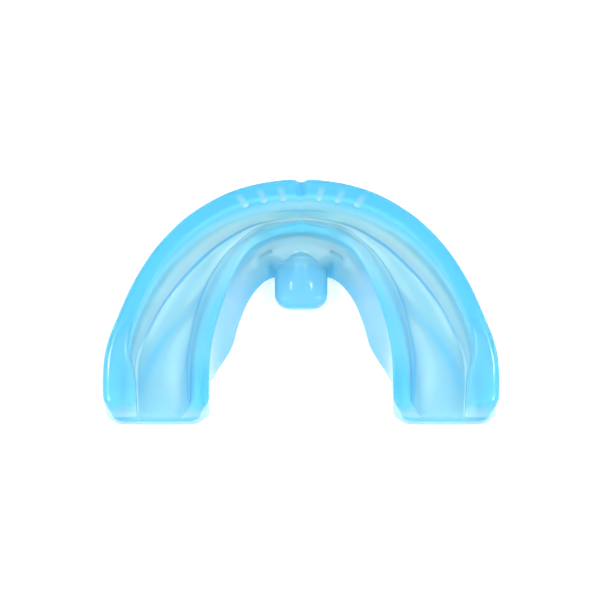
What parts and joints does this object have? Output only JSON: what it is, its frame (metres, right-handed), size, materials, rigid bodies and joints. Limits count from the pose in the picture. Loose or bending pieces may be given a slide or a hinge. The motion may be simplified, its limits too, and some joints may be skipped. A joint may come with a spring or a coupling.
{
  "type": "dental trainer tray",
  "caption": "Soft arch-shaped mouth tray with upper and lower tooth channels, lip and cheek walls, a tongue guard and a central tongue tab.",
  "frame": {"origin": "middle of the footprint, on the surface that the lower lip rim stands on", "axes": "+X to the right-hand molar end as seen from behind the open end, +Y to the lip side at the midline, +Z to the upper teeth"},
  "size_m": [0.064, 0.0384, 0.0185],
  "materials": {
    "silicone": "translucent satin"
  },
  "bodies": {
    "root": {"bite_plate_front": "silicone", "upper_labial_wall": "silicone", "lower_labial_wall": "silicone", "upper_lingual_wall_front": "silicone", "tongue_guard_front": "silicone", "bite_plate_left": "silicone", "bite_plate_right": "silicone", "upper_buccal_wall_left": "silicone", "upper_buccal_wall_right": "silicone", "lower_buccal_wall_left": "silicone", "lower_buccal_wall_right": "silicone", "upper_lingual_wall_left": "silicone", "upper_lingual_wall_right": "silicone", "tongue_guard_left": "silicone", "tongue_guard_right": "silicone", "tongue_tag": "silicone", "tooth_marker_left_1": "silicone", "tooth_marker_right_1": "silicone", "tooth_marker_left_2": "silicone", "tooth_marker_right_2": "silicone", "tooth_marker_left_3": "silicone", "tooth_marker_right_3": "silicone"}
  },
  "joints": []
}
